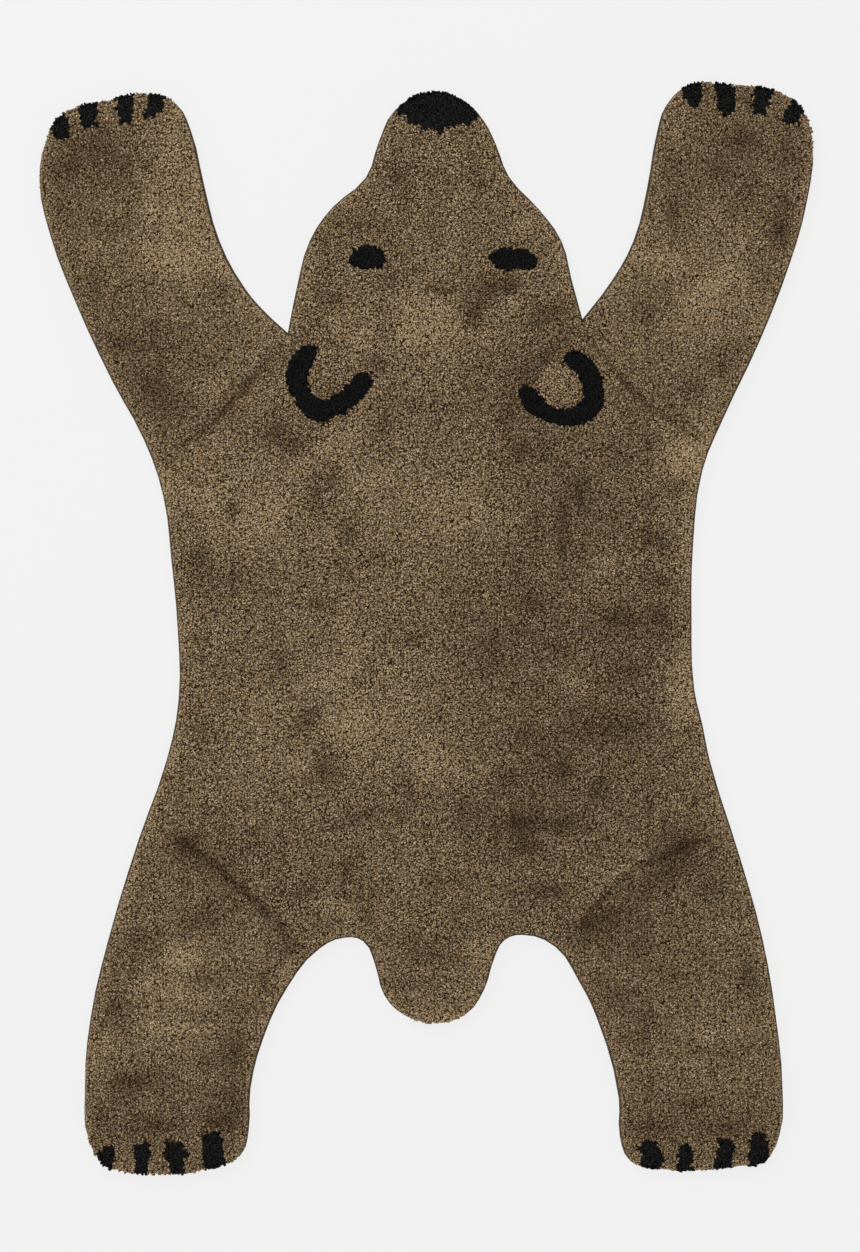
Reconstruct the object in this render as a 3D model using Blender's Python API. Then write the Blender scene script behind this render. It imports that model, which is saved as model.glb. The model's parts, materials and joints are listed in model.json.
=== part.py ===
"""A bear shaped kids rug: cut wool pile, hand-tufted on a canvas backing, lying flat.

Metres, +Z up, +Y towards the head, +X to the right as seen from above. The origin is on the
floor, under the middle of the rug. The tables are in millimetres.
"""

import collections

import bmesh
import bpy
from mathutils import Matrix, Vector

MM = 0.001

# Thicknesses and clearances
BACKING_THICK = 2.5 * MM
FOLD_ROUND = 0.8 * MM  # rounding of the backing's folded edge
PILE_THICK = 11.0 * MM
PILE_ROUND = 4.0 * MM  # how far the pile rounds over at the rug's edge
FOLD_SHOWS = 1.5 * MM  # how far the backing's folded edge stands out past the pile
GAP = 0.3 * MM  # between neighbouring pieces
BAND_PROUD = 1.5 * MM  # how far the eyes and ears stand over the brown pile
BAND_ROUND = 2.0 * MM
CUT_CLEAR = 2.0 * MM  # how far a cutter runs past what it cuts

PILE_BOTTOM = BACKING_THICK + GAP
PILE_TOP = PILE_BOTTOM + PILE_THICK

# Straight pieces between two points of an outline, and in each rounding
EDGE_STEPS = 3
FIELD_STEPS = 3
LINE_STEPS = 3
ROUND_STEPS = 1

# The rug's edge, clockwise from the tip of the nose. A stretch flows on into the next one, or
# ends in the sharp corner where a foreleg meets the head.
Stretch = collections.namedtuple("Stretch", "place end points")
EDGE = (
    Stretch("head, right side", "corner", (
        (9, 590), (43, 579), (63, 559), (77, 532), (91, 497), (124, 461), (149, 426), (160, 384),
        (172, 340))),
    Stretch("right foreleg", "flow", (
        (204, 382), (228, 426), (243, 484), (254, 546), (264, 575), (289, 597), (333, 597),
        (383, 591), (412, 572), (425, 533), (419, 470), (401, 404), (367, 316), (326, 229))),
    Stretch("right flank", "flow", (
        (304, 174), (294, 97), (292, 9), (295, -67), (304, -106), (312, -145))),
    Stretch("right hind leg", "flow", (
        (346, -254), (370, -341), (385, -429), (392, -506), (389, -556), (372, -585), (342, -591),
        (246, -593), (224, -585), (213, -558), (212, -517), (188, -429), (167, -386),
        (142, -350))),
    Stretch("tail", "flow", (
        (106, -337), (86, -343), (75, -363), (64, -397), (44, -424), (9, -433), (-24, -425),
        (-46, -403), (-56, -370), (-69, -344), (-89, -340))),
    Stretch("left hind leg", "flow", (
        (-117, -352), (-152, -394), (-179, -451), (-193, -506), (-195, -553), (-203, -578),
        (-232, -592), (-302, -599), (-348, -591), (-369, -568), (-375, -506), (-369, -429),
        (-349, -341), (-316, -232))),
    Stretch("left flank", "flow", (
        (-285, -144), (-272, -78), (-273, -2), (-280, 75), (-289, 146))),
    Stretch("left foreleg", "corner", (
        (-310, 207), (-345, 272), (-386, 360), (-414, 435), (-425, 492), (-418, 535), (-399, 565),
        (-357, 578), (-302, 587), (-274, 576), (-259, 549), (-244, 488), (-227, 426), (-199, 374),
        (-177, 348), (-152, 325))),
    Stretch("head, left side", "flow", (
        (-142, 375), (-128, 426), (-103, 463), (-66, 496), (-52, 535), (-34, 570))),
)

# The black yarn of the nose: its lower edge with the small tip, then round past the rug's edge
NOSE = (
    (-32, 569), (-20, 556), (-4, 550), (11, 547), (15, 541), (19, 547), (34, 551), (46, 556),
    (59, 564), (62, 590), (13, 612), (-34, 592))

# Other fields of black yarn, each a stroke: places along its middle, with its width there
Place = collections.namedtuple("Place", "across along width")
EYES = {
    "eye_left": ((-75, 405, 19), (-64, 408, 24), (-54, 405, 18)),
    "eye_right": ((77, 406, 16), (87, 404, 24), (100, 405, 21), (113, 403, 19)),
}
EARS = {
    "ear_left": (
        (-129, 301, 19), (-140, 281, 23), (-136, 254, 20), (-115, 238, 24), (-98, 244, 19),
        (-83, 255, 21), (-69, 271, 20)),
    "ear_right": (
        (162, 295, 20), (176, 282, 22), (183, 262, 21), (180, 243, 22), (160, 232, 20),
        (135, 236, 16), (118, 247, 22), (111, 256, 19)),
}
CLAWS = {
    "claw_fore_left_1": ((-398, 545, 18), (-403, 562, 15), (-407, 574, 13)),
    "claw_fore_left_2": ((-370, 558, 16), (-370, 583, 16)),
    "claw_fore_left_3": ((-328, 560, 13), (-330, 570, 19), (-331, 589, 20)),
    "claw_fore_left_4": ((-300, 566, 12), (-296, 577, 18), (-295, 593, 19)),
    "claw_fore_right_1": ((293, 581, 18), (290, 607, 20)),
    "claw_fore_right_2": ((330, 570, 15), (329, 581, 19), (326, 604, 19)),
    "claw_fore_right_3": ((363, 573, 18), (368, 584, 19), (373, 600, 22)),
    "claw_fore_right_4": ((399, 560, 14), (407, 573, 16), (413, 583, 15)),
    "claw_hind_left_1": ((-348, -575, 18), (-351, -586, 14), (-347, -598, 13)),
    "claw_hind_left_2": ((-311, -573, 19), (-312, -586, 12), (-313, -606, 15)),
    "claw_hind_left_3": ((-275, -574, 24), (-273, -586, 16), (-270, -606, 16)),
    "claw_hind_left_4": ((-233, -561, 19), (-234, -574, 21), (-230, -599, 19)),
    "claw_hind_right_1": ((243, -570, 18), (248, -580, 22), (246, -600, 23)),
    "claw_hind_right_2": ((283, -570, 10), (285, -578, 16), (282, -601, 16)),
    "claw_hind_right_3": ((330, -567, 14), (327, -579, 19), (326, -600, 16)),
    "claw_hind_right_4": ((365, -562, 19), (364, -574, 20), (363, -599, 19)),
}

# The raised brown pile inside each ear: its middle and its size
Heart = collections.namedtuple("Heart", "across along wide long")
HEARTS = (Heart(-104, 280, 62, 66), Heart(146, 265, 62, 60))
HEART_PROUD = 3.5 * MM
HEART_SUNK = 3.0 * MM  # how far the round form's middle lies under the pile's top
HEART_SIDES = 16
HEART_RINGS = 8

# Lines that the shears carve in the pile: width, depth and points along them
Line = collections.namedtuple("Line", "place wide deep points")
LINES = (
    Line("shoulder_left", 12, 2.2, (
        (-153, 321), (-178, 287), (-204, 261), (-230, 226), (-251, 211), (-283, 193))),
    Line("shoulder_right", 12, 2.2, (
        (173, 338), (191, 305), (218, 270), (241, 247), (267, 227), (300, 204))),
    Line("hip_left", 12, 2.2, (
        (-283, -216), (-263, -237), (-237, -253), (-209, -280), (-180, -301), (-133, -339))),
    Line("hip_right", 12, 2.2, (
        (339, -223), (300, -234), (265, -249), (226, -267), (191, -301), (149, -347))),
    Line("bridge_left", 7, 1.2, ((5, 533), (4, 464), (5, 395))),
    Line("bridge_right", 7, 1.2, ((23, 533), (24, 464), (23, 402))),
    Line("muzzle_end", 7, 1.2, ((-2, 379), (7, 371), (21, 368), (34, 370), (45, 380))),
)


def make_collection(name):
    made = bpy.data.collections.new(name)
    bpy.context.scene.collection.children.link(made)
    return made


def yarn(name, colour, roughness):
    """A plain Principled material of one dyed yarn or cloth."""
    material = bpy.data.materials.new(name)
    material.use_nodes = True
    shader = material.node_tree.nodes["Principled BSDF"]
    shader.inputs["Base Color"].default_value = (*colour, 1.0)
    shader.inputs["Roughness"].default_value = roughness
    shader.inputs["Metallic"].default_value = 0.0
    material.diffuse_color = (*colour, 1.0)
    return material


def hide_as_cutter(obj):
    obj.hide_render = True
    obj.display_type = "WIRE"


def set_outline(curve, points, corners=()):
    """A closed line through the points, smooth except at the corners."""
    spline = curve.splines.new("BEZIER")
    spline.bezier_points.add(len(points) - 1)
    spline.use_cyclic_u = True
    for index, knot in enumerate(spline.bezier_points):
        across, along = points[index]
        knot.co = (across * MM, along * MM, 0.0)
        handle = "VECTOR" if index in corners else "AUTO"
        knot.handle_left_type = handle
        knot.handle_right_type = handle


def meshed(guide, into):
    """The guide curve made a closed mesh object in its place, and the guide removed."""
    bpy.context.scene.collection.objects.link(guide)
    graph = bpy.context.evaluated_depsgraph_get()
    mesh = bpy.data.meshes.new_from_object(guide.evaluated_get(graph))
    work = bmesh.new()
    work.from_mesh(mesh)
    bmesh.ops.remove_doubles(work, verts=work.verts, dist=0.01 * MM)
    bmesh.ops.recalc_face_normals(work, faces=work.faces)
    work.to_mesh(mesh)
    work.free()
    name = guide.name.removesuffix("_guide")
    made = bpy.data.objects.new(name, mesh)
    made.matrix_world = guide.matrix_world
    into.objects.link(made)
    bpy.data.curves.remove(guide.data)
    return made


def slab(name, points, bottom, top, into, corners=(), steps=FIELD_STEPS, rounding=0.0, grow=0.0):
    """A flat piece of this outline, grown sideways, from bottom up to top."""
    curve = bpy.data.curves.new(name, "CURVE")
    curve.dimensions = "2D"
    curve.fill_mode = "BOTH"
    curve.resolution_u = steps
    curve.extrude = (top - bottom) / 2 - rounding
    curve.bevel_depth = rounding
    curve.bevel_resolution = ROUND_STEPS
    curve.offset = grow - rounding
    set_outline(curve, points, corners)
    guide = bpy.data.objects.new(name + "_guide", curve)
    guide.matrix_world = Matrix.Translation((0.0, 0.0, (bottom + top) / 2))
    return meshed(guide, into)


def stroke_outline(stroke):
    """The points round a stroke: its tip, one side, its other tip, and the other side."""
    places = [Place(*row) for row in stroke]
    middle = [Vector((place.across, place.along)) for place in places]
    left, right = [], []
    for index, place in enumerate(places):
        before = middle[max(index - 1, 0)]
        after = middle[min(index + 1, len(middle) - 1)]
        ahead = (after - before).normalized()
        side = Vector((-ahead.y, ahead.x)) * place.width / 2
        left.append(middle[index] + side)
        right.append(middle[index] - side)
    start = middle[0] + (middle[0] - middle[1]).normalized() * places[0].width / 2
    end = middle[-1] + (middle[-1] - middle[-2]).normalized() * places[-1].width / 2
    return [start, *left, end, *reversed(right)]


def shears(line, into):
    """The round cutter for one carved line, which fades out at both ends."""
    half, deep = line.wide / 2, line.deep
    radius = (half**2 + deep**2) / (2 * deep)
    curve = bpy.data.curves.new("cut_" + line.place, "CURVE")
    curve.dimensions = "3D"
    curve.bevel_depth = radius * MM
    curve.bevel_resolution = LINE_STEPS
    curve.resolution_u = LINE_STEPS
    curve.use_fill_caps = True
    spline = curve.splines.new("BEZIER")
    spline.bezier_points.add(len(line.points) - 1)
    for knot, (across, along) in zip(spline.bezier_points, line.points):
        knot.co = (across * MM, along * MM, PILE_TOP + (radius - deep) * MM)
        knot.handle_left_type = "AUTO"
        knot.handle_right_type = "AUTO"
    for knot in (spline.bezier_points[0], spline.bezier_points[-1]):
        knot.radius = 1.0 - deep / radius
    made = meshed(bpy.data.objects.new(curve.name + "_guide", curve), into)
    hide_as_cutter(made)


def heart_form(heart, name, into):
    """The round form that stands out of the pile inside an ear."""
    mesh = bpy.data.meshes.new(name)
    work = bmesh.new()
    bmesh.ops.create_uvsphere(work, u_segments=HEART_SIDES, v_segments=HEART_RINGS, radius=1.0)
    size = (heart.wide / 2 * MM, heart.long / 2 * MM, HEART_PROUD + HEART_SUNK)
    bmesh.ops.scale(work, vec=size, verts=work.verts)
    middle = (heart.across * MM, heart.along * MM, PILE_TOP - HEART_SUNK)
    bmesh.ops.translate(work, vec=middle, verts=work.verts)
    work.to_mesh(mesh)
    work.free()
    made = bpy.data.objects.new(name, mesh)
    into.objects.link(made)
    hide_as_cutter(made)


def add_boolean(obj, operation, operand):
    """Joins to, cuts from or keeps of the object what the operand holds: an object or a collection."""
    modifier = obj.modifiers.new(operation.lower(), "BOOLEAN")
    modifier.operation = operation
    if isinstance(operand, bpy.types.Collection):
        modifier.operand_type = "COLLECTION"
        modifier.collection = operand
    else:
        modifier.object = operand


def make_backing(points, corners, into):
    return slab(
        "backing", points, 0.0, BACKING_THICK, into, corners,
        steps=EDGE_STEPS, rounding=FOLD_ROUND)


def make_pile(points, corners, into, helpers):
    """The brown pile with its cuts, and the uncut blank that the nose and claws are cut from."""
    pile = slab(
        "pile_brown", points, PILE_BOTTOM, PILE_TOP, into, corners,
        steps=EDGE_STEPS, rounding=PILE_ROUND, grow=-FOLD_SHOWS)
    blank = bpy.data.objects.new("pile_blank", pile.data)
    blank.matrix_world = pile.matrix_world
    helpers.objects.link(blank)
    hide_as_cutter(blank)
    return pile, blank


def make_pocket(name, points, pockets):
    """The hole in the brown pile for a field of black yarn."""
    bottom, top = PILE_BOTTOM - CUT_CLEAR, PILE_TOP + HEART_PROUD + CUT_CLEAR
    hide_as_cutter(slab("pocket_" + name, points, bottom, top, pockets, grow=GAP))


def make_edge_field(name, points, blank, into, pockets):
    """A field that ends at the rug's edge, with the pile's own top and rim."""
    field = slab(name, points, PILE_BOTTOM - CUT_CLEAR, PILE_TOP + CUT_CLEAR, into)
    add_boolean(field, "INTERSECT", blank)
    make_pocket(name, points, pockets)
    return field


def make_inner_field(name, points, into, pockets):
    """A field with brown pile all round it, which stands a little proud."""
    field = slab(name, points, PILE_BOTTOM, PILE_TOP + BAND_PROUD, into, rounding=BAND_ROUND)
    make_pocket(name, points, pockets)
    return field


def main():
    for obj in list(bpy.data.objects):
        bpy.data.objects.remove(obj)
    rug = make_collection("bear_rug")
    helpers = make_collection("cutters")
    pockets, lines, hearts = (
        make_collection(name) for name in ("pockets", "carved_lines", "ear_hearts"))

    brown = yarn("brown_wool", (0.155, 0.115, 0.068), 0.95)
    black = yarn("black_wool", (0.008, 0.008, 0.010), 0.95)
    canvas = yarn("dark_canvas", (0.070, 0.055, 0.040), 0.85)

    points = [point for stretch in EDGE for point in stretch.points]
    corners, count = [], 0
    for stretch in EDGE:
        count += len(stretch.points)
        if stretch.end == "corner":
            corners.append(count - 1)

    backing = make_backing(points, corners, rug)
    backing.data.materials.append(canvas)

    pile, blank = make_pile(points, corners, rug, helpers)
    pile.data.materials.append(brown)

    fields = [make_edge_field("nose", NOSE, blank, rug, pockets)]
    for name, stroke in CLAWS.items():
        fields.append(make_edge_field(name, stroke_outline(stroke), blank, rug, pockets))
    for name, stroke in {**EYES, **EARS}.items():
        fields.append(make_inner_field(name, stroke_outline(stroke), rug, pockets))
    for field in fields:
        field.data.materials.append(black)

    for number, heart in enumerate(HEARTS, 1):
        heart_form(heart, f"heart_{number}", hearts)
    for line in LINES:
        shears(line, lines)
    add_boolean(pile, "UNION", hearts)
    add_boolean(pile, "DIFFERENCE", pockets)
    add_boolean(pile, "DIFFERENCE", lines)


main()
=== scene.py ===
"""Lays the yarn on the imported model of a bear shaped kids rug, as a Blender add-on that is run as
a script.

The rug is hand-tufted: wool yarn is shot through a canvas in rows, cut level and carved with
shears. Each tuft of the cut pile is a small closed shape of its own here, and stands in the
space that the CAD solids of the pile hold. Metres, +Z up, +Y towards the head.
"""

import collections
import json
import math

import bmesh
import bpy
import numpy as np
from mathutils import Matrix, Quaternion, Vector, noise
from mathutils.bvhtree import BVHTree

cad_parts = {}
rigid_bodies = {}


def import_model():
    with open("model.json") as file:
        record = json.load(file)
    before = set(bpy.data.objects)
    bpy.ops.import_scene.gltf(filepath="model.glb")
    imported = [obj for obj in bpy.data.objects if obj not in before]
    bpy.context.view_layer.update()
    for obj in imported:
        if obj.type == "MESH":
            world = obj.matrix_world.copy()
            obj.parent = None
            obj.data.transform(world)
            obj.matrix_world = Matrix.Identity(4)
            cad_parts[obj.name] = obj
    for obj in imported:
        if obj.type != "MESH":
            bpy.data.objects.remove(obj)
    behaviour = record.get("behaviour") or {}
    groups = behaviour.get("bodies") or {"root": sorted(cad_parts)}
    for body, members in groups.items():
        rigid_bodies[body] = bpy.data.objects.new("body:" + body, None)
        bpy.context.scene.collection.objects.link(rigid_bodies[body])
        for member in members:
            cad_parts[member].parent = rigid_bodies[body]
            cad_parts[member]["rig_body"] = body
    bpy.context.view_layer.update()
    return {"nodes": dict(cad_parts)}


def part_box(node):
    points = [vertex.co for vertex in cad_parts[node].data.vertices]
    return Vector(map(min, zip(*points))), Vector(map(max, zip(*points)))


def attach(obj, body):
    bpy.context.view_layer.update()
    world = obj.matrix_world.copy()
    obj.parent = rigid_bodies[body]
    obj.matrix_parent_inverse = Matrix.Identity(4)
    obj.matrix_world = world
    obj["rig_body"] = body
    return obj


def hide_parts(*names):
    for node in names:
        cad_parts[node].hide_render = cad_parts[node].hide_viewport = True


bl_info = {
    "name": "Bear Shaped Kids Rug",
    "version": (1, 0, 0),
    "blender": (4, 5, 0),
    "location": "View3D > Sidebar > Rug",
    "description": "Lays canvas and cut wool pile on the packed model of a bear shaped rug",
    "category": "Object",
}

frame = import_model()
NODES = frame["nodes"]

MM = 0.001

# The picture that the camera stands for: its height, and what one pixel covers on the pile
PHOTO_HIGH = 1252
PIXEL = 1.096 * MM
PHOTO_MIDDLE = (4.4 * MM, 2.7 * MM)  # where the middle of the picture falls on the rug

PILE_TOP = 13.8 * MM  # the brown pile's level, which the ears' hearts pass and the carving leaves
UPWARDS = Vector((0, 0, 1))

# Which CAD nodes hold the black yarn, by the piece that takes their place
BLACK_FIELDS = {
    "nose_tufts": ("nose",),
    "eye_tufts": ("eye_left", "eye_right"),
    "ear_tufts": ("ear_left", "ear_right"),
    "claw_tufts": tuple(name for name in NODES if name.startswith("claw_")),
}
BLACK_NODES = tuple(name for names in BLACK_FIELDS.values() for name in names)

# The brown field, sorted into pieces in the way that the carved lines part it: each takes the
# tufts nearest to one of its middles, in millimetres across and along the rug
Middle = collections.namedtuple("Middle", "piece across along")
BROWN_FIELDS = (
    Middle("head_tufts", 0, 470),
    Middle("head_tufts", -60, 350),
    Middle("head_tufts", 80, 350),
    Middle("foreleg_left_tufts", -350, 440),
    Middle("foreleg_left_tufts", -270, 290),
    Middle("foreleg_right_tufts", 350, 440),
    Middle("foreleg_right_tufts", 280, 290),
    Middle("shoulder_tufts", -110, 150),
    Middle("shoulder_tufts", 130, 150),
    Middle("belly_tufts", -120, -60),
    Middle("belly_tufts", 130, -60),
    Middle("rump_tufts", 0, -260),
    Middle("rump_tufts", 0, -390),
    Middle("rump_tufts", -120, -230),
    Middle("rump_tufts", 140, -230),
    Middle("hind_leg_left_tufts", -270, -330),
    Middle("hind_leg_left_tufts", -300, -500),
    Middle("hind_leg_right_tufts", 280, -330),
    Middle("hind_leg_right_tufts", 300, -500),
)
TAIL_START = -350 * MM  # the tail lies past this place along the rug

# Painted light and shade: soft patches where the pile lies another way and so looks darker (under 1)
# or paler (over 1) in the light: middle and half sizes in millimetres, turn in degrees
PaintedPatch = collections.namedtuple("PaintedPatch", "across along wide long turn shade")
PAINTED_PATCHES = tuple(PaintedPatch(*row) for row in (
    # broad ones, for the way the light falls across the rug
    (150, 130, 70, 100, 0, 0.72), (170, -70, 80, 90, 0, 0.72), (120, -205, 85, 45, 0, 0.76),
    (275, -250, 45, 55, 0, 0.78), (265, 75, 25, 45, 0, 1.14), (-75, -90, 100, 80, 0, 1.22),
    (-20, 130, 100, 90, 0, 1.16), (-215, 140, 70, 50, 0, 1.22), (-270, 430, 45, 80, 0, 1.26),
    (-375, 525, 40, 40, 0, 0.82), (-295, 285, 60, 45, 0, 0.82), (310, 370, 70, 55, 0, 1.20),
    (345, 520, 60, 45, 0, 0.74), (270, 480, 25, 40, 0, 0.78), (-5, 320, 60, 50, 0, 1.08),
    (95, 265, 30, 45, 0, 0.80), (290, 180, 25, 60, 0, 1.24), (285, -70, 22, 60, 0, 1.24),
    (-275, -395, 55, 60, 0, 1.18), (-255, -530, 80, 35, 0, 0.78), (-215, -245, 70, 32, 0, 0.80),
    (245, -340, 70, 50, 0, 0.84), (285, -545, 80, 28, 0, 0.80), (0, -405, 45, 25, 0, 1.12),
    (-190, -40, 60, 60, 0, 1.06), (-190, -150, 60, 50, 0, 1.08), (20, 210, 60, 30, 0, 0.88),
    (40, -10, 45, 50, 0, 0.88), (-190, 20, 40, 30, 0, 0.90), (-350, 340, 25, 40, 0, 0.85),
    (105, -300, 40, 30, 0, 0.86), (190, -50, 30, 35, 0, 1.12), (-10, -255, 40, 30, 0, 1.08),
    (-330, 430, 80, 150, 10, 0.94),
    # left foreleg
    (-397, 505, 20, 15, 0, 0.54), (-355, 522, 35, 32, 0, 0.61), (-327, 495, 10, 20, 0, 0.74),
    (-397, 465, 15, 28, 0, 0.66), (-345, 440, 30, 13, 0, 0.69), (-365, 377, 11, 15, 0, 0.59),
    (-235, 370, 14, 12, 0, 0.72), (-325, 310, 36, 12, 0, 0.59), (-290, 330, 34, 10, -15, 0.72),
    (-300, 262, 20, 24, 0, 0.54), (-275, 240, 20, 18, 0, 0.66), (-240, 295, 15, 10, 0, 0.72),
    (-225, 240, 85, 7, 43, 0.61), (-285, 402, 32, 20, 0, 1.42), (-300, 460, 16, 16, 0, 1.26),
    (-280, 510, 22, 45, 0, 1.19), (-235, 265, 18, 14, 0, 1.23), (-355, 422, 40, 9, 0, 1.19),
    (-400, 535, 18, 12, 0, 0.80), (-265, 357, 26, 8, -56, 0.76), (-303, 383, 14, 9, 20, 0.80),
    (-338, 365, 8, 14, 0, 0.80), (-378, 368, 8, 42, 24, 0.80), (-370, 455, 26, 10, 10, 0.84),
    (-355, 490, 14, 6, 0, 0.80), (-280, 490, 14, 16, 0, 0.86), (-225, 395, 26, 9, -45, 1.25),
    (-195, 350, 20, 10, -30, 1.20), (-245, 515, 8, 25, 12, 1.18), (-310, 298, 40, 6, 0, 1.24),
    (-255, 265, 30, 9, 15, 1.12),
    # head
    (10, 464, 40, 62, 0, 1.08),
    (-33, 500, 12, 16, 0, 0.65), (-68, 442, 32, 14, 0, 0.72), (-110, 420, 12, 20, 0, 0.77),
    (-100, 360, 15, 12, 0, 0.64), (-35, 385, 12, 15, 0, 0.72), (-44, 336, 8, 20, 0, 0.74),
    (-2, 335, 36, 32, 0, 1.51), (-68, 315, 14, 14, 0, 1.30), (-100, 262, 20, 8, 0, 0.64),
    (-60, 290, 14, 10, 0, 0.69), (60, 490, 15, 12, 0, 0.72), (90, 375, 16, 8, 0, 0.51),
    (64, 372, 18, 12, 0, 0.61), (50, 346, 12, 15, 0, 0.51), (90, 355, 14, 9, 0, 1.26),
    (128, 345, 28, 14, 0, 0.66), (132, 297, 44, 10, 45, 0.49), (105, 440, 16, 12, 0, 1.30),
    (60, 322, 26, 14, 0, 1.21), (145, 268, 22, 14, -30, 1.26), (15, 495, 22, 16, 0, 0.85),
    (14, 369, 17, 6, 0, 0.60), (32, 440, 8, 28, 0, 1.18), (30, 520, 8, 20, 0, 1.14),
    (-22, 470, 6, 34, 0, 0.80), (12, 445, 5, 30, 0, 0.84), (152, 400, 9, 34, 18, 1.38),
    (-133, 375, 8, 40, -12, 1.22), (60, 350, 12, 26, -20, 0.76), (85, 378, 22, 10, 0, 0.78),
    (95, 350, 15, 11, 0, 1.20), (135, 340, 30, 18, 20, 0.78), (-105, 365, 12, 16, 0, 0.82),
    (-90, 342, 20, 24, 0, 1.14), (25, 242, 45, 13, 0, 0.86), (105, 285, 10, 14, 0, 0.82),
    (-115, 275, 13, 14, 0, 0.85),
    # right foreleg
    (275, 510, 12, 15, 0, 0.69), (273, 455, 9, 20, 0, 0.56), (345, 535, 16, 14, 0, 0.56),
    (320, 505, 12, 16, 0, 0.74), (355, 485, 14, 14, 0, 0.64), (395, 465, 12, 15, 0, 0.59),
    (388, 435, 14, 16, 0, 0.46), (400, 520, 18, 25, 0, 0.72), (260, 405, 26, 12, 0, 1.34),
    (312, 372, 36, 12, 40, 1.30), (345, 430, 12, 18, 0, 1.23), (240, 350, 18, 11, 0, 0.72),
    (325, 290, 14, 12, 0, 0.61), (345, 310, 10, 10, 0, 0.72), (290, 265, 16, 10, 0, 0.66),
    (280, 228, 30, 7, -50, 0.59), (228, 258, 40, 7, -50, 0.72), (225, 236, 15, 10, 0, 0.72),
    (350, 462, 14, 14, 0, 0.76), (387, 440, 13, 22, 0, 0.80), (310, 585, 20, 15, 0, 0.78),
    (350, 585, 14, 12, 0, 0.78), (260, 370, 11, 20, -30, 0.78), (250, 341, 10, 11, 0, 0.72),
    (368, 378, 12, 20, 26, 0.80), (247, 480, 6, 25, 0, 0.80), (362, 510, 12, 17, 0, 1.26),
    (308, 440, 9, 20, -25, 1.18), (237, 425, 11, 14, 0, 1.20), (362, 345, 11, 17, 24, 1.20),
    (285, 315, 15, 13, 0, 1.18), (200, 300, 14, 15, 0, 1.15), (283, 258, 14, 9, 20, 0.78),
    (248, 230, 28, 6, -48, 1.24),
    # chest
    (-165, 215, 17, 13, 0, 0.44), (-150, 200, 17, 12, 0, 0.54), (-92, 205, 26, 12, 40, 1.42),
    (-135, 180, 24, 8, 30, 1.26), (-45, 225, 10, 20, 0, 0.59), (-102, 164, 9, 13, 0, 0.56),
    (-65, 165, 26, 12, 0, 1.30), (-165, 130, 16, 20, 0, 1.48), (-240, 140, 16, 12, 0, 1.32),
    (-192, 108, 30, 20, 0, 1.34), (-213, 128, 8, 8, 0, 0.46), (-120, 145, 12, 20, 0, 0.61),
    (-250, 76, 15, 18, 0, 0.54), (-212, 52, 40, 16, 0, 0.74), (-85, 105, 10, 18, 15, 0.49),
    (-92, 70, 12, 14, 0, 0.64), (-55, 75, 10, 15, 0, 0.72), (86, 232, 8, 20, 0, 0.59),
    (105, 195, 15, 15, 0, 0.46), (130, 190, 8, 15, 0, 0.59), (45, 215, 15, 24, 0, 1.16),
    (245, 202, 15, 14, 0, 0.66), (210, 190, 14, 14, 0, 0.72), (285, 190, 25, 18, 0, 1.45),
    (42, 132, 36, 22, 0, 1.30), (88, 122, 18, 24, 0, 1.21), (150, 102, 7, 34, 0, 0.51),
    (168, 150, 9, 20, 0, 0.46), (245, 100, 16, 12, 0, 0.49), (262, 90, 10, 10, 0, 0.59),
    (258, 54, 16, 10, 0, 0.49), (196, 58, 22, 18, 25, 1.30), (275, 155, 12, 9, 0, 0.69),
    (-283, 160, 6, 25, 12, 1.30), (-148, 115, 14, 20, 0, 0.82), (-105, 55, 22, 9, 0, 0.84),
    (-195, 85, 16, 8, 0, 0.86), (-285, 203, 13, 11, 0, 0.80), (118, 168, 14, 22, -25, 1.26),
    (165, 112, 7, 17, 0, 1.22), (285, 85, 9, 30, 0, 1.22), (225, 50, 22, 13, 0, 0.82),
    (245, 140, 13, 11, 0, 0.72), (272, 150, 14, 9, 0, 0.80), (225, 170, 10, 10, 0, 0.82),
    (200, 72, 14, 12, 0, 1.14), (10, 180, 10, 15, 0, 0.85),
    # belly
    (-113, 25, 11, 12, 0, 0.59), (-90, 8, 9, 20, 0, 1.23), (-85, -42, 24, 12, 50, 1.36),
    (-116, -58, 20, 9, 0, 1.30), (-15, -12, 12, 10, 0, 0.64), (-215, 15, 22, 12, 45, 1.19),
    (-158, -32, 14, 16, 0, 0.66), (-75, -60, 11, 8, 0, 0.66), (-130, -100, 20, 11, 55, 0.49),
    (-82, -100, 24, 24, 0, 1.45), (-108, -150, 17, 22, 0, 0.46), (5, -145, 24, 20, 0, 1.38),
    (-245, -110, 16, 12, -45, 0.72), (-140, -145, 20, 14, 0, 1.19), (115, 30, 18, 12, 0, 0.49),
    (215, 10, 26, 16, 0, 0.46), (258, 14, 14, 18, 0, 0.54), (72, -25, 12, 24, 0, 0.59),
    (100, -8, 10, 20, 0, 0.72), (140, -20, 18, 7, 0, 0.64), (162, -64, 24, 14, 0, 1.36),
    (225, -45, 16, 14, 0, 0.64), (110, -118, 14, 13, 0, 0.54), (130, -138, 9, 18, 0, 0.59),
    (150, -156, 12, 14, 0, 0.49), (208, -110, 40, 15, 0, 0.59), (90, -165, 14, 12, 45, 0.61),
    (190, -178, 12, 12, 0, 0.61), (282, -68, 15, 34, 0, 1.42), (50, -160, 26, 24, 0, 1.13),
    (-265, -5, 8, 22, 0, 1.32), (-272, -120, 6, 25, -5, 1.22), (-178, -48, 36, 20, 0, 0.84),
    (-65, -45, 17, 11, 0, 0.82), (100, 10, 22, 12, 0, 0.84), (55, -20, 13, 15, 0, 0.84),
    (152, -118, 15, 11, 0, 0.72), (80, -125, 14, 12, 0, 0.84), (255, -10, 16, 10, 0, 0.82),
    (285, 15, 8, 18, 0, 0.80), (285, -110, 14, 10, 0, 0.80), (150, -55, 15, 15, 0, 1.20),
    (176, -72, 13, 9, 0, 1.16), (125, -72, 10, 10, 0, 0.84),
    # rump and tail
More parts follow.
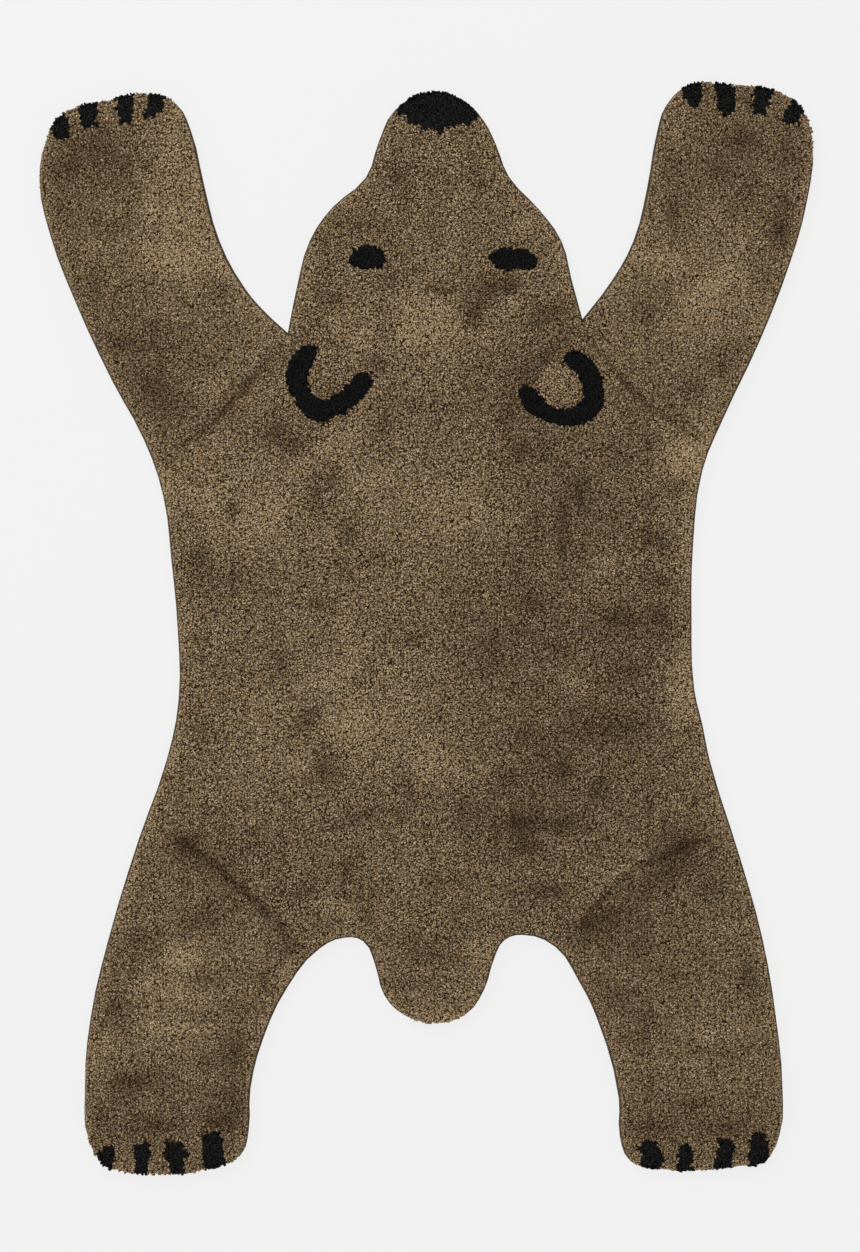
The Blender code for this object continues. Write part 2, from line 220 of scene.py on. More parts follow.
    (-20, -176, 8, 18, 0, 0.59), (-78, -207, 20, 9, 20, 0.54), (-30, -206, 12, 8, 0, 0.69),
    (105, -213, 22, 12, 0, 0.35), (150, -215, 24, 10, 0, 0.44), (40, -200, 12, 16, 0, 0.64),
    (108, -240, 14, 13, 0, 0.51), (135, -286, 17, 12, 0, 0.59), (-88, -265, 10, 16, 0, 0.54),
    (-135, -290, 20, 10, 30, 0.59), (-100, -305, 26, 11, 0, 1.37), (-65, -312, 10, 24, 0, 0.72),
    (-15, -345, 10, 12, 0, 0.64), (8, -360, 24, 10, 0, 0.69), (60, -345, 15, 14, 0, 1.32),
    (235, -240, 10, 12, 0, 1.30), (205, -272, 28, 9, 40, 1.26), (10, -280, 12, 14, 0, 0.72),
    (-70, -235, 10, 9, 0, 0.80), (-85, -295, 10, 12, 0, 0.82), (75, -235, 7, 19, -10, 0.76),
    (45, -235, 11, 15, 0, 0.84), (122, -290, 10, 12, 0, 0.76), (152, -298, 14, 12, 0, 0.84),
    (15, -345, 18, 9, 25, 0.80), (-10, -390, 22, 8, 0, 0.82), (-50, -262, 13, 11, 0, 1.16),
    (-20, -275, 11, 13, 0, 1.16), (65, -285, 9, 20, 0, 1.20), (55, -365, 11, 22, 0, 1.22),
    (-92, -315, 8, 17, 15, 1.16), (48, -405, 9, 13, 30, 1.18), (0, -316, 20, 8, 0, 1.12),
    (16, -422, 42, 4, 0, 1.28), (-5, -391, 40, 8, 0, 0.76), (22, -403, 9, 3, -20, 0.50),
    (-22, -402, 5, 18, 10, 0.84), (-9, -402, 7, 11, 0, 1.12), (-40, -408, 4, 14, 30, 1.12),
    # left hind leg
    (-320, -496, 36, 7, 18, 0.80), (-258, -480, 32, 5, 2, 0.84), (-238, -511, 30, 6, 4, 0.84),
    (-265, -426, 32, 6, -3, 0.82), (-205, -417, 20, 7, -8, 0.84), (-243, -382, 25, 9, -10, 0.88),
    (-335, -438, 28, 7, 0, 0.86), (-262, -440, 28, 6, 0, 1.09), (-278, -512, 26, 7, 0, 1.07),
    (-263, -235, 16, 14, 0, 0.44), (-228, -268, 36, 11, -38, 0.54), (-175, -312, 46, 8, -48, 0.51),
    (-148, -350, 11, 9, 0, 0.51), (-245, -320, 25, 13, 20, 0.56), (-310, -340, 25, 17, 0, 0.69),
    (-265, -360, 14, 16, 0, 1.48), (-290, -392, 30, 12, 0, 1.19), (-340, -415, 12, 16, 0, 0.49),
    (-240, -386, 18, 10, 0, 0.72), (-176, -385, 9, 34, -12, 0.69), (-210, -460, 19, 28, 0, 0.61),
    (-275, -436, 45, 12, 0, 1.30), (-320, -495, 30, 14, 0, 0.55), (-225, -540, 22, 12, 0, 0.40),
    (-210, -515, 12, 14, 0, 0.61), (-355, -540, 10, 16, 0, 0.64), (-298, -546, 28, 12, 0, 0.56),
    (-322, -265, 8, 58, -19, 1.22), (-355, -455, 15, 12, 0, 1.30), (-362, -488, 10, 16, 0, 1.26),
    (-152, -371, 14, 7, 45, 1.25), (-330, -370, 22, 25, 0, 0.84), (-250, -427, 19, 8, 0, 0.72),
    (-200, -420, 19, 7, 0, 0.76), (-180, -385, 8, 15, 0, 0.84), (-265, -262, 13, 11, 0, 0.80),
    (-235, -305, 26, 13, 20, 0.84), (-185, -235, 8, 13, 0, 0.82), (-165, -285, 19, 8, 0, 0.84),
    (-235, -475, 12, 8, 0, 0.82), (-340, -515, 10, 10, 0, 0.80), (-290, -530, 28, 7, -15, 1.18),
    (-250, -540, 18, 6, 15, 1.16), (-265, -578, 26, 12, 0, 0.82), (-335, -562, 18, 11, 0, 0.82),
    # right hind leg
    (180, -325, 30, 12, 32, 0.42), (205, -320, 22, 20, 0, 0.59), (240, -285, 30, 14, 30, 0.61),
    (285, -240, 24, 18, 0, 0.44), (266, -262, 24, 18, 0, 0.64), (315, -285, 10, 14, 0, 0.64),
    (235, -350, 12, 12, 0, 0.64), (355, -385, 12, 20, 20, 0.56), (275, -380, 20, 8, 0, 0.72),
    (215, -400, 20, 12, 0, 0.66), (240, -430, 10, 20, 0, 0.69), (345, -435, 30, 14, 0, 1.16),
    (290, -525, 15, 8, 0, 0.64), (248, -548, 26, 12, 0, 0.59), (330, -548, 36, 8, 0, 0.64),
    (205, -355, 12, 13, 0, 0.76), (175, -345, 13, 8, 0, 0.82), (190, -311, 17, 11, 0, 1.18),
    (300, -250, 12, 10, 0, 1.22), (318, -200, 13, 20, 15, 1.16), (245, -280, 20, 11, 30, 1.16),
    (300, -440, 15, 9, -40, 1.20), (325, -330, 30, 16, 0, 1.12), (350, -490, 15, 11, 0, 1.18),
    (232, -455, 13, 12, 0, 0.76), (325, -470, 26, 8, -20, 0.80), (240, -508, 16, 14, 0, 0.82),
    (208, -290, 10, 10, 0, 0.80), (240, -210, 20, 12, 0, 0.85), (215, -415, 14, 8, 0, 0.84),
    (268, -572, 10, 10, 0, 0.82),
))

# Where the pile hangs ragged over the rug's edge: middle, reach and how far the tips pass it
Fringe = collections.namedtuple("Fringe", "across along reach over")
FRINGES = (
    Fringe(-345, 585, 80, 1.4),
    Fringe(-290, 592, 26, 2.4),
    Fringe(-360, 582, 45, 1.2),
    Fringe(-410, 565, 22, 1.6),
    Fringe(-426, 484, 5, 4.0),
    Fringe(350, 590, 80, 1.4),
    Fringe(298, 600, 36, 1.4),
    Fringe(424, 550, 26, 1.8),
    Fringe(-285, -600, 110, 2.4),
    Fringe(300, -598, 90, 1.4),
    Fringe(-10, 600, 36, 2.2),
    Fringe(10, -434, 42, 2.6),
    Fringe(368, -588, 10, 2.5),
    Fringe(-350, -588, 12, 2.2),
)

# Where the needle strayed from the drawn line of a field, so that its yarn stands on another's
# ground: the yarn's node (one claw stands for all), then middle and reach in millimetres
Stray = collections.namedtuple("Stray", "across along reach")
STRAYS = {node: tuple(Stray(*row) for row in rows) for node, rows in {
    "nose": (
        (-18, 556, 4), (-12, 552, 3), (-3, 549, 2.5), (4, 549, 3), (24, 549, 3), (31, 551, 3),
        (45, 553.5, 3.5), (52, 558, 2.5)),
    "eye_left": ((-52, 415, 3), (-47.5, 412.5, 2.5), (-77, 415, 2.5), (-52, 397, 2.5)),
    "eye_right": ((76, 395, 2), (100, 416, 1.5)),
    "ear_left": (
        (-121, 307, 3), (-112, 226, 2.5), (-60, 280, 2), (-59, 271, 2), (-88, 236, 3),
        (-80, 240, 2.5)),
    "ear_right": (
        (152, 293, 2), (122, 258, 2.5), (135, 228, 3), (125, 233, 2.5), (150, 222, 2.5),
        (108, 264, 2.5), (139, 241, 2)),
    "claw_fore_left_1": (
        (-402, 538, 3), (-394, 539, 2), (-361, 553, 3), (-377, 553, 2), (-373, 548, 2),
        (-334, 556, 3), (-322, 558, 2.5), (-306, 561, 3.5), (-305, 566, 2), (-291, 568, 2.5),
        (336, 570, 2.5), (323, 570, 2.5), (376, 574, 3), (371, 566, 3), (379, 586, 2),
        (407, 553, 3), (395, 556, 2), (-355, -584, 2), (-317, -568, 3), (-305, -567, 3),
        (-319, -573, 2), (-283, -564, 3), (-268, -566, 3), (-261, -577, 2.5), (-285, -573, 2),
        (-243, -559, 3.5), (-240, -554, 3), (-228, -553, 3), (234, -571, 2.5), (252, -565, 2.5),
        (279, -569, 3), (291, -572, 3), (276, -578, 3), (322, -561, 3), (334, -562, 3),
        (318, -572, 2), (337, -568, 2), (356, -563, 3)),
    "pile_brown": (
        (-27, 560, 4), (-43.5, 405, 2), (-65, 395, 2), (73, 414, 2.5), (88, 418.5, 2),
        (-144, 251, 2), (192, 283, 2), (-381, 571, 2.5), (-361, 576, 2.5), (-340, 573, 3),
        (281, 587, 2), (304, 594, 2), (338, 592, 2.5), (319, 598, 2), (357, 583, 3), (357, 577, 3),
        (358, 569, 2), (394, 569, 2.5), (-360, -576, 3), (259, -588, 3), (293, -586, 3),
        (353, -583, 2.5), (377, -572, 2.5)),
}.items()}


def linear(colour):
    """A linear RGB triple from an sRGB hex colour."""
    parts = [int(colour[i : i + 2], 16) / 255 for i in (0, 2, 4)]
    return tuple(c / 12.92 if c <= 0.04045 else ((c + 0.055) / 1.055) ** 2.4 for c in parts)


def length(name, default, about):
    """A length that a user may change."""
    return bpy.props.FloatProperty(
        name=name, description=about, default=default, unit="LENGTH", precision=5)


def share(name, default, about):
    """A plain factor that a user may change."""
    return bpy.props.FloatProperty(name=name, description=about, default=default, subtype="FACTOR")


def colour(name, default, about):
    """A colour that a user may change, from its sRGB hex value."""
    return bpy.props.FloatVectorProperty(
        name=name, description=about, default=linear(default), subtype="COLOR", size=3, min=0, max=1)


class RugPileSizes(bpy.types.PropertyGroup):
    """Sizes of the tufts and how they stand"""

    row_gap: length("Row gap", 3.3 * MM, "Distance between two rows of tufts")
    stitch: length("Stitch", 3.1 * MM, "Distance between two tufts of a row")
    stray: share("Stray", 0.11, "How far a tuft strays from its row, as a share of the gap")
    wide: length("Tuft width", 6.4 * MM, "Width of a tuft's cut end")
    black: share("Black yarn", 0.74, "Gaps and widths of the black tufts, as a share of the brown ones")
    trim: length("Trim", 0.22 * MM, "How unevenly the shears left the tips")
    shows: length("Showing length", 1.7 * MM, "How far the tufts stand out of the packed pile")
    root: length("Root height", 2.9 * MM, "Height of the roots over the floor, on the canvas")
    lean: length("Lean", 1.3 * MM, "How far the tips lie over on the open field")
    rim_band: length("Rim band", 17.0 * MM, "Width of the band at the edge that leans outwards")
    rim_lean: length("Rim lean", 2.6 * MM, "How far the tips at the very edge lean outwards")
    rim_row: length("Rim row", 4.3 * MM, "Distance of the outermost row from the canvas edge")
    mingle: length("Mingle", 0.4 * MM, "How far brown and black tufts mix where they meet")
    # How strongly the painted shade and the painted light of the patches show
    painted_shade_patches: share("Dark patches", 1.12, "How strongly the patches that look darker show")
    painted_light_patches: share("Pale patches", 1.9, "How strongly the patches that look paler show")
    seed: bpy.props.IntProperty(name="Seed", description="Start of the random numbers", default=7)


class RugColours(bpy.types.PropertyGroup):
    """Colours of the yarns and the canvas"""

    # Each yarn has a lit colour for ends that face the light, a glint colour for painted highlights,
    # and a shaded colour for the painted shade between and under its fibre ends
    brown_lit: colour("Brown lit", "B59870", "Fibre ends of the brown wool that face the light")
    brown_glint: colour("Brown glint", "D8C6A8", "Single brown fibre ends that shine")
    brown_shaded: colour("Brown deep", "2C1703", "Brown wool between and under the fibre ends")
    black_lit: colour("Black lit", "201F1E", "Fibre ends of the black wool that face the light")
    black_glint: colour("Black glint", "3A3938", "Single black fibre ends that shine")
    black_shaded: colour("Black deep", "080808", "Black wool between and under the fibre ends")
    canvas_warp: colour("Canvas warp", "675845", "Lengthwise threads of the backing canvas")
    canvas_weft: colour("Canvas weft", "776651", "Crosswise threads of the backing canvas")
    floor: colour("Floor", "F1F1F1", "Plain pale floor")


# ---------------------------------------------------------------------------------------------
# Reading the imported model


def merged(name):
    """A bmesh of a CAD node, with its loose triangles joined."""
    bm = bmesh.new()
    bm.from_mesh(NODES[name].data)
    bmesh.ops.remove_doubles(bm, verts=bm.verts, dist=1e-6)
    return bm


def pile_surface():
    """All fields of pile as one search tree, and the node that each of its faces is of."""
    points, faces, owners = [], [], []
    for name in ("pile_brown", *BLACK_NODES):
        mesh = NODES[name].data
        start = len(points)
        points += [vertex.co.copy() for vertex in mesh.vertices]
        faces += [[start + i for i in face.vertices] for face in mesh.polygons]
        owners += [name] * len(mesh.polygons)
    return BVHTree.FromPolygons(points, faces), owners


def canvas_edge():
    """The points of the canvas's edge, counter-clockwise, at half its thickness."""
    bm = merged("backing")
    low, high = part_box("backing")
    bmesh.ops.bisect_plane(
        bm, geom=[*bm.verts, *bm.edges, *bm.faces], plane_co=(low + high) / 2, plane_no=(0, 0, 1),
        clear_outer=True, clear_inner=True)
    here = next(iter(bm.verts))
    seen, points = set(), []
    while here is not None:
        seen.add(here)
        points.append(here.co.copy())
        ends = (bound.other_vert(here) for bound in here.link_edges)
        here = next((end for end in ends if end not in seen), None)
    bm.free()
    turning = sum(a.x * b.y - b.x * a.y for a, b in zip(points, points[1:] + points[:1]))
    return points if turning > 0 else points[::-1]


def edge_wall(edge):
    """A search tree of an upright wall along the edge, for the distance to it."""
    points = [Vector((p.x, p.y, z)) for z in (-0.1, 0.1) for p in edge]
    count = len(edge)
    walls = [(i, (i + 1) % count, (i + 1) % count + count, i + count) for i in range(count)]
    return BVHTree.FromPolygons(points, walls)


def rim_places(edge, step, inset):
    """Places at an even step along a line that runs inside the edge."""
    places, carry = [], 0.0
    for a, b in zip(edge, edge[1:] + edge[:1]):
        along = (b - a).to_2d()
        run = along.length
        if run < 1e-7:
            continue
        inwards = Vector((-along.y, along.x)) / run
        at = carry
        while at < run:
            places.append(a.to_2d() + along * (at / run) + inwards * inset)
            at += step
        carry = at - run
    return places


# ---------------------------------------------------------------------------------------------
# Where each tuft stands, and how

RIM_LEVEL = 9 * MM  # over the canvas, from where the pile nearest to a place past it is sought

Place = collections.namedtuple("Place", "x y top gap outwards on_rim shade over")
Tuft = collections.namedtuple("Tuft", "piece root turn size shade coarse")


def field_noise(x, y, wave, layer):
    """Smooth noise over the rug, about -1 to 1, with waves of the given length."""
    return noise.noise(Vector((x / wave, y / wave, layer * 7.31))) * 1.6


def painted_patch_shades(x, y):
    """What the patches of painted light and shade make of the shade at these places."""
    shade = np.ones(len(x))
    for painted_patch in PAINTED_PATCHES:
        dx, dy = x / MM - painted_patch.across, y / MM - painted_patch.along
        turn = math.radians(painted_patch.turn)
        u = (dx * math.cos(turn) + dy * math.sin(turn)) / painted_patch.wide
        v = (dy * math.cos(turn) - dx * math.sin(turn)) / painted_patch.long
        shade *= 1 + (painted_patch.shade - 1) * np.exp(-(u * u + v * v))
    return shade


def overhangs(x, y):
    """How far the tips pass the canvas's edge at these places, in metres."""
    over = np.zeros(len(x))
    for fringe in FRINGES:
        far = (x / MM - fringe.across) ** 2 + (y / MM - fringe.along) ** 2
        over += fringe.over * MM * np.exp(-far / fringe.reach**2)
    return over


def strayed(across, along, node):
    """The node whose yarn stands at this place of a node's ground."""
    for other, places in STRAYS.items():
        if any(math.hypot(across - p.across, along - p.along) < p.reach for p in places):
            return other
    return node


def plan_tufts(sizes, wanted):
    """Every tuft whose yarn belongs to one of the wanted nodes."""
    rng = np.random.default_rng(sizes.seed)
    surface, owners = pile_surface()
    edge = canvas_edge()
    wall = edge_wall(edge)
    low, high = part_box("backing")
    wanted = set(wanted)
    fine = 1.0 if "pile_brown" in wanted else sizes.black
    row_gap, stitch = sizes.row_gap * fine, sizes.stitch * fine
    rows = math.ceil((high.x - low.x) / row_gap)
    stitches = math.ceil((high.y - low.y) / stitch)
    across, along = np.meshgrid(np.arange(rows + 1), np.arange(stitches + 1), indexing="ij")
    stray = rng.normal(0, sizes.stray, (2, *across.shape))
    xs = (low.x + row_gap * (across + stray[0])).ravel()
    ys = (low.y + stitch * (along + 0.5 * (across % 2) + stray[1])).ravel()
    rim = rim_places(edge, stitch * 0.8, sizes.rim_row)
    on_rims = [False] * len(xs) + [True] * len(rim)
    # Each row has a shade of its own, as the yarn comes off the cone
    row_shades = np.append(rng.normal(1, 0.05, rows + 1)[across.ravel()], np.ones(len(rim)))
    xs = np.append(xs, [place.x for place in rim])
    ys = np.append(ys, [place.y for place in rim])
    # Painted light and shade of the patches, then each row's own tone
    shades = painted_patch_shades(xs, ys)
    shades = shades ** np.where(shades < 1, sizes.painted_shade_patches, sizes.painted_light_patches) * row_shades
    overs = overhangs(xs, ys)
    tufts = []
    chances = rng.random((len(xs), 6))
    drifts = rng.normal(0, 1, (len(xs), 6))
    columns = [column.tolist() for column in (xs, ys, shades, overs, chances, drifts)]
    for on_rim, x, y, shade, over, chance, drift in zip(on_rims, *columns):
        hit, _, face, _ = surface.ray_cast(Vector((x, y, 1)), -UPWARDS)
        if hit is None:
            if not on_rim:
                continue
            hit, _, face, _ = surface.find_nearest(Vector((x, y, high.z + RIM_LEVEL)))
        near = wall.find_nearest(Vector((x, y, 0)))[0]
        outwards = Vector((near.x - x, near.y - y))
        gap = outwards.length
        outwards = outwards / max(gap, 1e-9)
        if not on_rim and gap < sizes.rim_row + 0.62 * stitch:
            continue
        node = owners[face]
        # The needle doesn't keep exactly to the drawn line, so the two yarns mix along it
        asked = Vector((x + drift[0] * sizes.mingle, y + drift[1] * sizes.mingle, 1))
        _, _, other, _ = surface.ray_cast(asked, -UPWARDS)
        if other is not None:
            node = owners[other]
        node = strayed(x / MM, y / MM, node)
        if node not in wanted:
            continue
        place = Place(x, y, hit.z, gap, outwards, on_rim, shade, over)
        tufts.append(stand_tuft(sizes, node, place, chance, drift))
    return tufts


# Lengths of the soft waves in which the pile lies over, and of the spots in its shade
LONG_WAVE = 60 * MM
SHORT_WAVE = 17 * MM
SPOT_WAVE = 22 * MM

HEART_FROM = 0.6 * MM  # over the pile's level, from which brown pile is inside an ear
TROUGH_DEEP = 1.8 * MM  # under the pile's level, at which the painted shade of a carved line is at its darkest
PILE_ROUNDS = 7 * MM  # nearer the edge than this the pile rounds down and isn't carved
RIM_SHOWS = 9 * MM  # nearer the edge than this the tufts show down to the canvas
ROOTED = 1.2 * MM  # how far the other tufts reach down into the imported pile
BROWN_STOPS = 4.0 * MM  # how far behind the canvas's edge the middles of brown tips stay
BLACK_STOPS = 1.6 * MM
RIM_TRIM = 0.4 * MM  # how much lower the shears left the very rim
BLACK_PROUD = 0.3 * MM  # how far the black tips stand over their field


def piece_of(node, x, y):
    """The piece that a tuft belongs to."""
    if node != "pile_brown":
        return next(piece for piece, nodes in BLACK_FIELDS.items() if node in nodes)
    return min(BROWN_FIELDS, key=lambda m: (m.across * MM - x) ** 2 + (m.along * MM - y) ** 2).piece


def stand_tuft(sizes, node, place, chance, drift):
    """One tuft: its root, the turn and size that bring its tip where it belongs, and its look."""
    x, y, top, gap, outwards, on_rim, painted_patch, over = place
    brown = node == "pile_brown"
    heart = brown and top > PILE_TOP + HEART_FROM
    # How deep the tuft sits in a carved trough, which sets its painted shade
    carved = min(1.0, max(0.0, PILE_TOP - top) / TROUGH_DEEP) if gap > PILE_ROUNDS else 0.0
    near_rim = max(0.0, 1 - gap / sizes.rim_band)

    # The tip lies over with the pile around it, by chance, and outwards at the rim
    lie = Vector((field_noise(x, y, LONG_WAVE, 1), field_noise(x, y, LONG_WAVE, 2)))
    lie += 0.7 * Vector((field_noise(x, y, SHORT_WAVE, 3), field_noise(x, y, SHORT_WAVE, 4)))
    lie += Vector((drift[2], drift[3])) * 0.75
    shift = lie * sizes.lean * (1 - 0.6 * near_rim) * (1.0 if brown else 0.6)
    reach = sizes.rim_lean * near_rim**1.4 + over * near_rim * (0.4 + 1.6 * chance[0])
    shift += outwards * reach
    # Brown tips stay behind the fold of the canvas, and black ones cover it
    most = gap - (BROWN_STOPS if brown else BLACK_STOPS) + over * (0.3 + 1.5 * chance[1])
    outward_now = shift.dot(outwards)
    if outward_now > most:
        shift += outwards * (most - outward_now)

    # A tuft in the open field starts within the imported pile, and one at the rim on the canvas
    root_height = sizes.root
    if gap >= RIM_SHOWS:
        root_height = max(sizes.root, top - sizes.shows - ROOTED)
    tip = top + sizes.trim * (drift[4] * (1.5 if heart else 1.0)) - near_rim * RIM_TRIM
    tip += 0.0 if brown else BLACK_PROUD
    stem = Vector((shift.x, shift.y, tip - root_height))
    spin = Quaternion(UPWARDS, chance[2] * math.tau)
    turn = (UPWARDS.rotation_difference(stem) @ spin).to_euler()
    wide = sizes.wide * (1.1 if heart else 0.72 if on_rim else 1.0) * (0.86 + 0.26 * chance[3])
    wide *= 1.0 if brown else sizes.black
    size = (wide * (0.80 + 0.15 * chance[4]), wide * (1.02 + 0.28 * chance[5]), stem.length)

    # Shade: the yarn's own flecks and a soft random mottle, then painted light and shade: the patches
    # where the pile lies another way, painted shade in the shears' troughs, and a paler band of painted
    # light at the rim where the tips lean outwards
    fleck = math.exp(0.10 * drift[5] * (1 - 0.5 * near_rim))
    if heart:
        fleck = fleck**1.8
    mottle = 1 + 0.05 * field_noise(x, y, LONG_WAVE, 5) + 0.07 * field_noise(x, y, SPOT_WAVE, 6)
    shade = fleck * mottle * painted_patch * (1 - 0.34 * carved) * (1 + 0.38 * near_rim**1.2)
    if node.startswith(("eye", "ear")):
        # Black ends among the brown ones get less light than those at the rim
        shade *= 0.5
    piece = piece_of(node, x, y)
    # The pile has more contrast inside the ears, and less on the legs and the tail
    calm = "leg" in piece or y < TAIL_START and piece == "rump_tufts"
    coarse = 1.5 if heart else -0.3 if calm else 0.0
    return Tuft(piece, Vector((x, y, root_height)), turn, size, shade, coarse)


# ---------------------------------------------------------------------------------------------
# Making the tufts

TUFT_SIDES = 4
TUFT_SHAPES = 3


def tuft_shape(number, home):
    """A cut tuft of height 1 and width 1: closed, thin at the root, with a soft rounded end."""
    rng = np.random.default_rng(100 + number)
    bm = bmesh.new()
    bmesh.ops.create_cone(
        bm, cap_ends=True, segments=TUFT_SIDES, radius1=0.34, radius2=0.5, depth=1,
        matrix=Matrix.Translation((0, 0, 0.5)))
    upper = max(bm.faces, key=lambda face: face.calc_center_median().z)
    for vertex in upper.verts:
        push = rng.normal(0, 0.05, 2)
        vertex.co += Vector((push[0], push[1], rng.uniform(-0.09, 0.0)))
    middle = bmesh.ops.poke(bm, faces=[upper])["verts"][0]
    middle.co += Vector((*rng.normal(0, 0.06, 2), 0.17))
    uv = bm.loops.layers.uv.new("OFBake")
    up = bm.verts.layers.float.new("up")
    for vertex in bm.verts:
        vertex[up] = 0.0 if vertex.co.z < 0.4 else 1.0 if vertex == middle else 0.86
    for face in bm.faces:
        face.smooth = True
        lay_flat(face, middle, uv)
    mesh = bpy.data.meshes.new(f"tuft_shape_{number}")
    bm.to_mesh(mesh)
    bm.free()
    shape = bpy.data.objects.new(mesh.name, mesh)
    home.objects.link(shape)
    return shape


def lay_flat(face, middle, uv):
    """Lays one face of the tuft in its own part of the unit square: root, sides, then cap."""
    centre = face.calc_center_median()
    for loop in face.loops:
        angle = math.atan2(loop.vert.co.y, loop.vert.co.x)
        if face.normal.z < -0.9:
            loop[uv].uv = (0.5 + 0.48 * math.cos(angle), 0.03 + 0.028 * math.sin(angle))
            continue
        # The side's own middle says which turn of the angle is meant
        ahead = math.atan2(centre.y, centre.x)
        around = (angle - ahead + math.pi) % math.tau - math.pi + ahead
        if loop.vert == middle:
            around = ahead
        if middle in face.verts:
            height = 1.0 if loop.vert == middle else 0.66
        else:
            height = 0.62 if loop.vert.co.z > 0.4 else 0.08
        loop[uv].uv = (around / math.tau + 0.5, height)


def planting(shapes):
    """The geometry nodes that set a tuft on each place."""
    tree = bpy.data.node_groups.new("plant_tufts", "GeometryNodeTree")
    tree.interface.new_socket("Geometry", in_out="INPUT", socket_type="NodeSocketGeometry")
    tree.interface.new_socket("Geometry", in_out="OUTPUT", socket_type="NodeSocketGeometry")
    start = add_node(tree, "NodeGroupInput")
    shapes_in = add_node(
        tree, "GeometryNodeCollectionInfo", {"Collection": shapes, "Separate Children": True})
    named = {}
    for name, kind in (("turn", "FLOAT_VECTOR"), ("size", "FLOAT_VECTOR"), ("shape", "INT")):
        named[name] = add_node(tree, "GeometryNodeInputNamedAttribute", {"Name": name}, data_type=kind)
    place = add_node(tree, "GeometryNodeInstanceOnPoints", {
        "Points": start.outputs["Geometry"], "Instance": shapes_in.outputs["Instances"],
        "Pick Instance": True, "Instance Index": named["shape"].outputs["Attribute"],
        "Rotation": named["turn"].outputs["Attribute"], "Scale": named["size"].outputs["Attribute"]})
    real = add_node(tree, "GeometryNodeRealizeInstances", {"Geometry": place.outputs["Instances"]})
    add_node(tree, "NodeGroupOutput", {"Geometry": real.outputs["Geometry"]})
    return tree


def plant_tufts(name, tufts, tree, material):
    """One mesh of all these tufts, with the look of each in its attributes."""
    places = bpy.data.meshes.new(name + "_places")
    places.from_pydata([tuft.root for tuft in tufts], [], [])
    per_tuft = {
        "turn": ("FLOAT_VECTOR", "vector", [tuple(tuft.turn) for tuft in tufts]),
        "size": ("FLOAT_VECTOR", "vector", [tuft.size for tuft in tufts]),
        "shape": ("INT", "value", [i % TUFT_SHAPES for i in range(len(tufts))]),
        "shade": ("FLOAT", "value", [tuft.shade for tuft in tufts]),
        "coarse": ("FLOAT", "value", [tuft.coarse for tuft in tufts]),
    }
    for key, (kind, field, values) in per_tuft.items():
        places.attributes.new(key, kind, "POINT").data.foreach_set(field, np.array(values).ravel())
    piece = bpy.data.objects.new(name, places)
    bpy.context.scene.collection.objects.link(piece)
    planted = piece.modifiers.new("plant tufts", "NODES")
    planted.node_group = tree
    bpy.context.view_layer.update()
    mesh = bpy.data.meshes.new_from_object(piece.evaluated_get(bpy.context.evaluated_depsgraph_get()))
    piece.modifiers.clear()
    piece.data = mesh
    mesh.name = name
    for key in ("turn", "size", "shape"):
        if key in mesh.attributes:
            mesh.attributes.remove(mesh.attributes[key])
    mesh.materials.clear()
    mesh.materials.append(material)
    give_cells(mesh, len(tufts))
    bpy.data.meshes.remove(places)
    return piece


def give_cells(mesh, count):
    """Gives each tuft's unfolded faces a square of their own in the map."""
    layer = mesh.uv_layers["OFBake"]
    flat = np.empty(len(mesh.loops) * 2, np.float32)
    layer.uv.foreach_get("vector", flat)
    flat = flat.reshape(count, -1, 2)
    side = math.ceil(math.sqrt(count))
    cell = np.stack([np.arange(count) % side, np.arange(count) // side], 1)[:, None, :]
    placed = (cell + 0.04 + 0.92 * flat) / side
    layer.uv.foreach_set("vector", placed.astype(np.float32).ravel())


BROWN_SHRINKS = 1.6 * MM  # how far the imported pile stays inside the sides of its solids
BLACK_SHRINKS = 0.8 * MM
UPPER_PILE = 8 * MM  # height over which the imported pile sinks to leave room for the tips


def packed_pile(name, nodes, drop, shrink, material):
    """The dense lower pile of some nodes as one piece, a little smaller than their solids."""
    whole = bmesh.new()
    for node in nodes:
        bm = merged(node)
        inwards = {vertex: vertex.normal.copy() for vertex in bm.verts}
        for vertex, normal in inwards.items():
            flat = Vector((normal.x, normal.y, 0))
            if flat.length > 0.3:
                vertex.co -= flat.normalized() * shrink
            if vertex.co.z > UPPER_PILE:
                vertex.co.z -= drop
        part = bpy.data.meshes.new(node)
        bm.to_mesh(part)
        bm.free()
        whole.from_mesh(part)
        bpy.data.meshes.remove(part)
    mesh = bpy.data.meshes.new(name)
    whole.to_mesh(mesh)
    whole.free()
    mesh.materials.append(material)
    piece = bpy.data.objects.new(name, mesh)
    bpy.context.scene.collection.objects.link(piece)
    return piece


# ---------------------------------------------------------------------------------------------
# Finishes


def add_node(tree, kind, sockets=None, **settings):
    """Adds a node, with its settings, and its sockets' values or links."""
    node = tree.nodes.new(kind)
    for key, value in settings.items():
        setattr(node, key, value)
    for key, value in (sockets or {}).items():
        socket = node.inputs[key]
        if isinstance(value, bpy.types.NodeSocket):
            tree.links.new(value, socket)
        else:
            socket.default_value = value
    return node


def new_finish(name, **sockets):
    """An empty Principled material, its node tree and its shader."""
    material = bpy.data.materials.new(name)
    material.use_nodes = True
    shader = material.node_tree.nodes["Principled BSDF"]
    for key, value in sockets.items():
        shader.inputs[key.replace("_", " ")].default_value = value
    return material, material.node_tree, shader


def wire(tree, shader, base, rough, relief, **bump):
    """Links a finish's colour, roughness and fine relief to its shader."""
    tree.links.new(base, shader.inputs["Base Color"])
    tree.links.new(rough.outputs[0], shader.inputs["Roughness"])
    bumps = add_node(tree, "ShaderNodeBump", relief, **bump)
    tree.links.new(bumps.outputs["Normal"], shader.inputs["Normal"])


def opaque(colour):
    """A linear RGB triple as a colour socket takes it."""
    return (*colour, 1.0)


